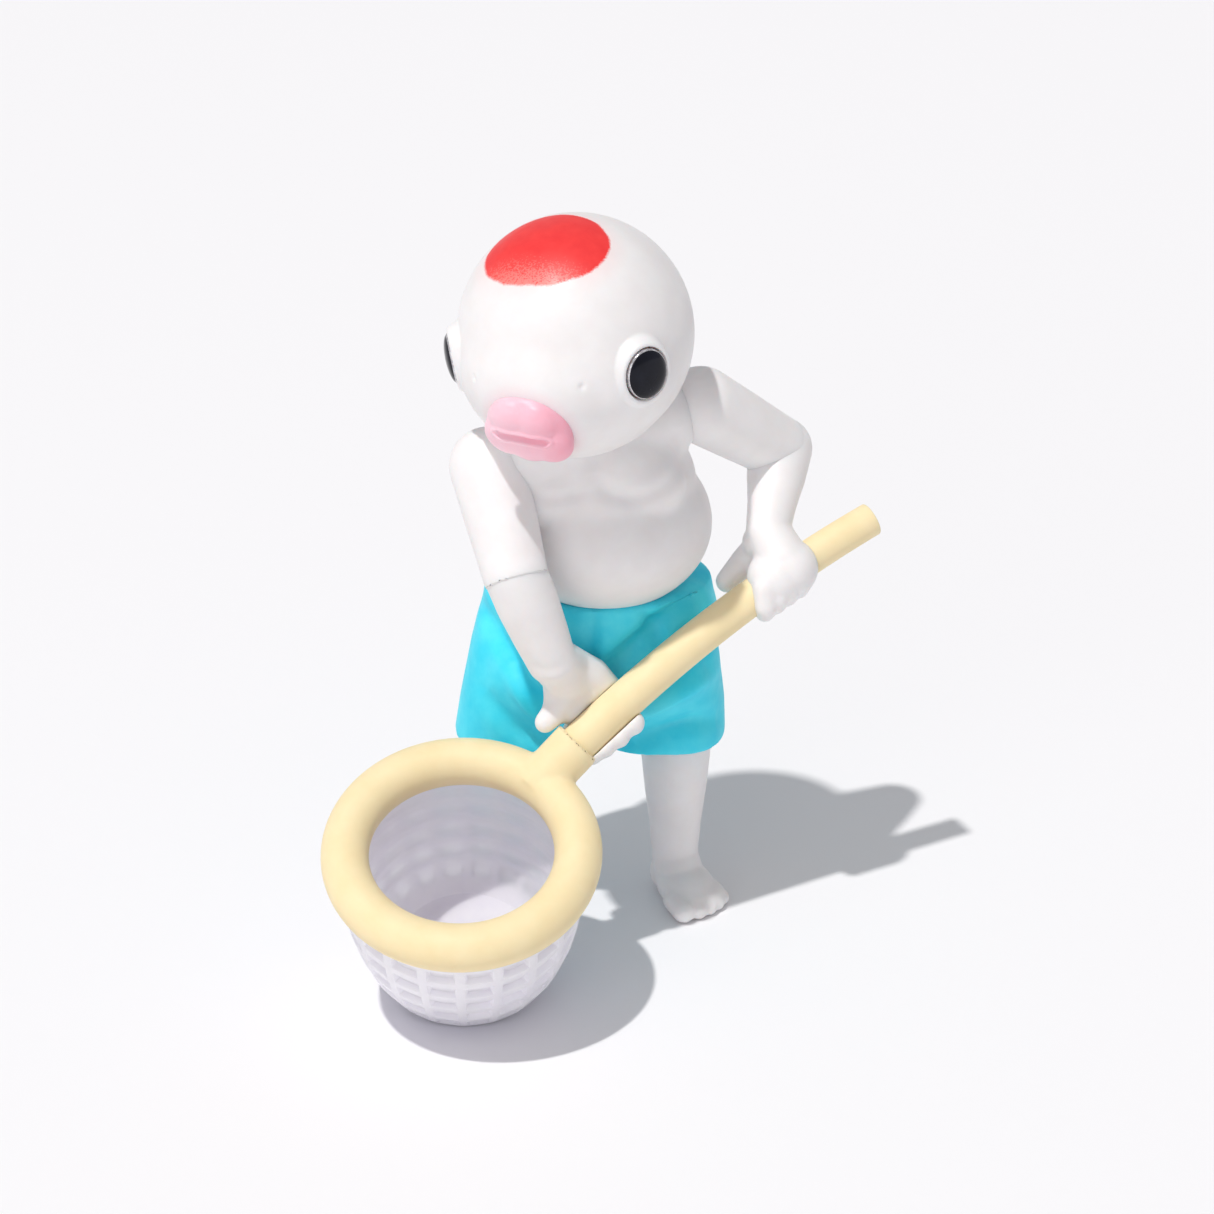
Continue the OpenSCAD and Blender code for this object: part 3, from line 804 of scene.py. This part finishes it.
def pole_tunnel(shares, radius, stations=24):
    """The round tunnel that the pole runs through."""
    shape = bmesh.new()
    first, last = shares
    step = (last - first) / stations
    start = pole_at(first)
    bmesh.ops.create_circle(
        shape, cap_ends=True, segments=48, radius=radius, matrix=facing(start, pole_run(first), Vector((0, 1, 0.3))))
    face = shape.faces[:][0]
    normal = POLE_AHEAD.cross(POLE_BOW)
    for _ in range(stations):
        made = bmesh.ops.extrude_face_region(shape, geom=[face])
        shape.faces.remove(face)
        points = [g for g in made["geom"] if isinstance(g, bmesh.types.BMVert)]
        face = [g for g in made["geom"] if isinstance(g, bmesh.types.BMFace)][0]
        bmesh.ops.rotate(
            shape, cent=POLE_MIDDLE, matrix=Matrix.Rotation(-POLE_BEND * step, 3, normal), verts=points)
    rim = [e for e in shape.edges if e.is_boundary]
    bmesh.ops.contextual_create(shape, geom=rim)
    bmesh.ops.recalc_face_normals(shape, faces=shape.faces)
    return shape


def upper_arm(name, node, body, shoulder, elbow, cut_at, cut_ahead, bulge):
    shape = bmesh.new()
    down = (elbow - shoulder)
    chain(shape, [(shoulder, 2.9), (shoulder + down * 0.42, 2.72), (shoulder + down * 0.8, 2.52), (elbow, 2.44)])
    ball(shape, shoulder + down * 0.5 + bulge, 2.1)
    shape = cast(shape, 0.20, 8)
    slice_off(shape, cut_at, cut_ahead, 0.10)
    return piece(name, shape, body, node, white_vinyl, sharp=50)


def right_lower_arm():
    """The palm lies up against the pole's far side, so the hand is open towards the front."""
    run = pole_run(RIGHT_GRIP)
    beside = facing(Vector(), run, Vector((0, 0.872, -0.489))).to_3x3().col[0]
    beside = beside if beside.z > 0 else -beside
    open_side = beside.cross(run)
    open_side = open_side if open_side.y < 0 else -open_side

    def at(along, aside, out=0.0):
        return RIGHT_HAND + run * along + beside * aside + open_side * out

    reach = RIGHT_WRIST - RIGHT_ELBOW
    shape = bmesh.new()
    chain(shape, [(RIGHT_ELBOW, 2.36), (RIGHT_ELBOW + reach * 0.35, 2.34), (RIGHT_ELBOW + reach * 0.7, 2.12),
                  (RIGHT_WRIST, 1.88)])
    chain(shape, [(RIGHT_WRIST, 1.88), (at(0.6, 4.6, 0.4), 1.7), (at(1.45, 3.1, -0.5), 1.4), (at(1.7, 1.4, -1.4), 1.1)])
    chain(shape, [(RIGHT_WRIST, 1.8), (at(-0.3, 3.3, -0.6), 1.5), (at(0.2, 1.0, -1.7), 1.05)])
    # the thumb lies along the pole
    chain(shape, [(at(-0.2, 4.6, 0.4), 1.5), (at(-1.4, 3.4, 0.0), 1.3), (at(-2.5, 2.9, -0.1), 1.0),
                  (at(-3.5, 2.85, -0.1), 0.84)])
    limb(shape, at(-1.4, 2.2, -0.6), 1.15, at(0.2, 2.6, -0.8), 1.3)
    # four fingers go round behind the pole, their tips showing under it
    for along, size, out in ((1.25, 0.98, 1.62), (-0.2, 0.94, 1.62), (-1.5, 0.86, 1.52), (-2.6, 0.74, 1.38)):
        chain(shape, [(at(along + 0.2, 1.2, -1.75), size * 0.9), (at(along + 0.1, -0.6, -1.65), size * 0.9),
                      (at(along, -out, -0.6), size), (at(along, -out, 0.15), size * 0.94)])
    shape = cast(shape, 0.16, 12)
    # the wrist fold
    crease(shape, [RIGHT_WRIST + Vector(p) for p in ((-1.6, -1.2, 0.5), (0.0, -1.9, 0.1), (1.6, -0.9, 0.6))], 0.5, 0.08)
    shape = cut(shape, pole_tunnel((-0.03, RIGHT_GRIP + 0.16), 1.52))
    channel = bmesh.new()
    bmesh.ops.create_cube(
        channel, size=1,
        matrix=Matrix.Translation(at(-1.5, 0, 4.0)) @ Matrix((beside, open_side, run)).transposed().to_4x4()
        @ Matrix.Diagonal((2.96, 8.0, 11.0, 1)))
    shape = cut(shape, channel)
    shape = cast(shape, 0.14, 4)
    return piece("right_arm_lower", shape, "right_arm", "right_forearm", white_vinyl)


def left_lower_arm():
    shape = bmesh.new()
    run = pole_run(LEFT_GRIP)
    reach = LEFT_WRIST - LEFT_ELBOW
    chain(shape, [(LEFT_ELBOW, 2.46), (LEFT_ELBOW + reach * 0.35, 2.24), (LEFT_ELBOW + reach * 0.7, 1.86),
                  (LEFT_WRIST, 1.68), (LEFT_HAND + Vector((0.35, 0.2, 1.7)), 1.95)])
    # the back of the hand, closed over the pole
    for shift, r in ((-0.45, 2.2), (0.75, 2.25)):
        ball(shape, LEFT_HAND + run * shift + Vector((0.25, -0.25, 0.6)), r)
    # fingers curling down over the near side and under
    for i in range(4):
        along = run * (1.65 - 1.05 * i)
        knuckle = LEFT_HAND + along + Vector((0.25, -1.2, 0.85))
        bend = LEFT_HAND + along + Vector((0.35, -1.6, -0.5))
        tip = LEFT_HAND + along + Vector((0.30, -0.8, -1.4))
        chain(shape, [(knuckle, 0.98), (bend, 0.90), (tip, 0.78)])
    # the thumb on the far side, along the top of the pole
    chain(shape, [(LEFT_WRIST + Vector((-0.7, 0.1, -1.0)), 1.25), (LEFT_HAND + Vector((-1.2, 2.1, 1.75)), 1.25),
                  (LEFT_HAND + Vector((-2.35, 1.9, 0.6)), 1.1), (LEFT_HAND + Vector((-3.7, 1.1, -0.7)), 0.9)])
    shape = cast(shape, 0.15, 9)
    shape = cut(shape, pole_tunnel((LEFT_GRIP - 0.2, LEFT_GRIP + 0.2), 1.37))
    return piece("left_arm_lower", shape, "left_arm", "left_forearm", white_vinyl, sharp=50)


# ---------------------------------------------------------------- the net

def scoop_hoop():
    shape = bmesh.new()
    turns = np.linspace(0, math.tau, 49)
    outline = [(HOOP_RADIUS + RIM_RADIUS * math.cos(a), RIM_RADIUS * math.sin(a)) for a in turns]
    lathe(shape, HOOP, HOOP_UP, outline, 128)
    collar = bmesh.new()
    root, run = pole_at(0), pole_run(0)
    outline = [(0, -0.6), (1.90, -0.6), (1.90, 5.2), (0, 5.2)]
    lathe(collar, root, run, outline, 64)
    mesh = bpy.data.meshes.new("collar")
    collar.to_mesh(mesh)
    collar.free()
    shape.from_mesh(mesh)
    bpy.data.meshes.remove(mesh)
    shape = cast(shape, 0.17, 7)
    slice_off(shape, root + run * 4.2, run, 0.14)
    return piece("scoop_hoop", shape, "net", "net_hoop", yellow_vinyl, sharp=60)


def scoop_pole():
    """Tapered from the collar to the free end, and cut off flat there."""
    shape = pole_tunnel((0.0, 1.0), 1.0, 48)
    bmesh.ops.recalc_face_normals(shape, faces=shape.faces)
    normal = POLE_AHEAD.cross(POLE_BOW)
    for point in shape.verts:
        gap = point.co - POLE_MIDDLE
        flat = gap - normal * gap.dot(normal)
        share = 0.5 + math.atan2(flat.dot(POLE_AHEAD), flat.dot(POLE_BOW)) / POLE_BEND
        centre = pole_at(share)
        point.co = centre + (point.co - centre).normalized() * (1.545 - 0.25 * min(1, max(0, share)) ** 0.9)
    ends = [e for e in shape.edges if e.is_manifold and e.calc_face_angle(0) > 1.2]
    bmesh.ops.bevel(
        shape, geom=ends, offset=0.12, offset_type="OFFSET", affect="EDGES", segments=3, profile=0.5, material=-1)
    return piece("scoop_pole", shape, "net", "net_handle", yellow_vinyl, sharp=40)


def scoop_basket():
    """A bowl moulded as a net: raised ribs and rings round sunken cells, smooth inside."""
    ribs, across = 20, 5
    rows = [(9.2, -1.0), (9.2, -2.2), (9.08, -4.3), (8.78, -6.4), (8.34, -8.5), (7.74, -10.5), (6.9, -12.3),
            (5.6, -13.15), (0, -13.2)]
    wall = [(0, -12.3), (5.4, -12.28), (6.3, -11.8), (7.0, -10.7), (7.6, -8.8), (7.97, -6.6), (8.24, -4.3),
            (8.3, -1.0)]
    heights = np.linspace(-11.6, -1.2, 43)
    radii = np.interp(heights, [h for _, h in wall[1:]], [r for r, _ in wall[1:]])
    lining = wall[:2] + [(r + 0.05 * math.sin(h * 6.0), h) for r, h in zip(radii, heights)]
    shape = bmesh.new()
    corners = [shape.verts.new((r, 0, h)) for r, h in rows + lining + rows[:1]]
    edges = [shape.edges.new(pair) for pair in zip(corners, corners[1:])]
    bmesh.ops.spin(
        shape, geom=corners + edges, cent=(0, 0, 0), axis=(0, 0, 1), angle=math.tau, steps=ribs * across,
        use_merge=True)
    bmesh.ops.remove_doubles(shape, verts=shape.verts, dist=1e-4)
    bmesh.ops.recalc_face_normals(shape, faces=shape.faces)
    # the outside is straight from rib to rib
    half = math.pi / ribs
    skin = [p for p in shape.verts
            if any(abs(p.co.xy.length - r) < 0.01 and abs(p.co.z - h) < 0.01 for r, h in rows)]
    for point in skin:
        turn = math.atan2(point.co.y, point.co.x) % (2 * half) - half
        point.co.xy *= math.cos(half) / math.cos(turn) * 0.35 + 0.65
    for row, ((_, ha), (rb, hb)) in enumerate(zip(rows[1:7], rows[2:7])):
        for rib in range(ribs):
            middle_turn = (rib + 0.5) * 2 * half
            cell = []
            for face in shape.faces:
                c = face.calc_center_median()
                if hb < c.z < ha and c.xy.length > rb * 0.94 + 0.1:
                    gap = (math.atan2(c.y, c.x) - middle_turn + math.pi) % math.tau - math.pi
                    if abs(gap) < half:
                        cell.append(face)
            outward = Vector((math.cos(middle_turn), math.sin(middle_turn), 0))
            cell = [f for f in cell if f.normal.dot(outward) > 0.3]
            # first the rib's half width, then the sunken cell's sloping side
            for thickness, depth in ((0.36 - 0.02 * row, 0), (0.20, -0.42)):
                bmesh.ops.inset_region(
                    shape, faces=cell, thickness=thickness, depth=depth, use_boundary=True, use_even_offset=True)
    shape.normal_update()
    bmesh.ops.transform(shape, matrix=facing(HOOP, HOOP_UP, Vector((0, 1, 0.001))), verts=shape.verts)
    slice_off(shape, Vector((0, 0, 0)), DOWN)
    blank = plain_object("blank", shape)
    round_off = blank.modifiers.new("round", "BEVEL")
    round_off.width, round_off.segments, round_off.limit_method = 0.07, 2, "ANGLE"
    round_off.angle_limit = math.radians(24)
    shape = shaped_by(blank)
    return piece("scoop_basket", shape, "net", "net_basket", lilac_vinyl, sharp=45)


fish_head()
pink_lips()
eye_bead("left_eye_bead", "left_eye")
eye_bead("right_eye_bead", "right_eye")
bare_torso()
swim_trunks()
bare_leg("left_bare_leg", "left_leg", "left_leg", LEFT_HIP, 1)
bare_leg("right_bare_leg", "right_leg", "right_leg", RIGHT_HIP, -1)

down = (RIGHT_ELBOW - RIGHT_SHOULDER).normalized()
upper_arm("right_arm_top", "right_upper_arm", "right_arm", RIGHT_SHOULDER, RIGHT_ELBOW,
          RIGHT_ELBOW + down * 0.6, (down + Vector((0.05, 0.0, -0.1))).normalized(), Vector((-0.5, -0.3, 0)))
down = (LEFT_ELBOW - LEFT_SHOULDER).normalized()
onward = (LEFT_WRIST - LEFT_ELBOW).normalized()
upper_arm("left_arm_top", "left_upper_arm", "left_arm", LEFT_SHOULDER, LEFT_ELBOW,
          LEFT_ELBOW + down * 0.1, (down + onward * 0.4).normalized(), Vector((0.2, -0.3, 0.4)))
right_lower_arm()
left_lower_arm()
scoop_hoop()
scoop_pole()
scoop_basket()


# ---------------------------------------------------------------- floor, light and camera

def pale_floor():
    shape = bmesh.new()
    bmesh.ops.create_grid(shape, x_segments=1, y_segments=1, size=12)
    for point in shape.verts:
        point.co.z = FLOOR_Z
    floor = plain_object("pale_floor", shape)
    look, _, shader = fresh("floor_white")
    shader.inputs["Base Color"].default_value = (0.90, 0.895, 0.915, 1)
    shader.inputs["Roughness"].default_value = 0.75
    shader.inputs["Specular IOR Level"].default_value = 0.2
    floor.data.materials.append(look)


def lights():
    world = bpy.data.worlds.new("soft_room")
    world.use_nodes = True
    sky = world.node_tree.nodes["Background"]
    sky.inputs["Color"].default_value = (0.965, 0.97, 1.0, 1)
    sky.inputs["Strength"].default_value = 0.44
    bpy.context.scene.world = world
    key = bpy.data.lights.new("high_key", "SUN")
    key.energy, key.angle, key.color = 2.08, math.radians(1.6), (1.0, 0.985, 0.96)
    key.specular_factor = 0.25
    lamp = bpy.data.objects.new("high_key", key)
    lamp.rotation_euler = Vector((-0.277, -0.305, 1)).to_track_quat("Z", "Y").to_euler()
    bpy.context.scene.collection.objects.link(lamp)
    fill = bpy.data.lights.new("side_fill", "AREA")
    fill.energy, fill.size, fill.color = 0.90, 0.5, (1.0, 0.985, 0.975)
    soft = bpy.data.objects.new("side_fill", fill)
    soft.location = (-0.36, -0.60, 0.16)
    soft.rotation_euler = (Vector(soft.location) - HEAD * MM).to_track_quat("Z", "Y").to_euler()
    bpy.context.scene.collection.objects.link(soft)
    bpy.context.scene.view_settings.view_transform = "Standard"


def camera():
    eye = bpy.data.cameras.new("camera")
    eye.lens, eye.sensor_width, eye.sensor_fit = 117.43, 36, "HORIZONTAL"
    eye.clip_start, eye.clip_end = 0.01, 60
    eye.dof.use_dof = False
    stand = bpy.data.objects.new("camera", eye)
    target = Vector((0.2, 8.3, 26.3)) * MM
    rise = math.radians(27)
    stand.location = target + Vector((0, -math.cos(rise), math.sin(rise))) * 0.3
    stand.rotation_euler = (math.pi / 2 - rise, 0, 0)
    bpy.context.scene.collection.objects.link(stand)
    bpy.context.scene.camera = stand


pale_floor()
lights()
camera()
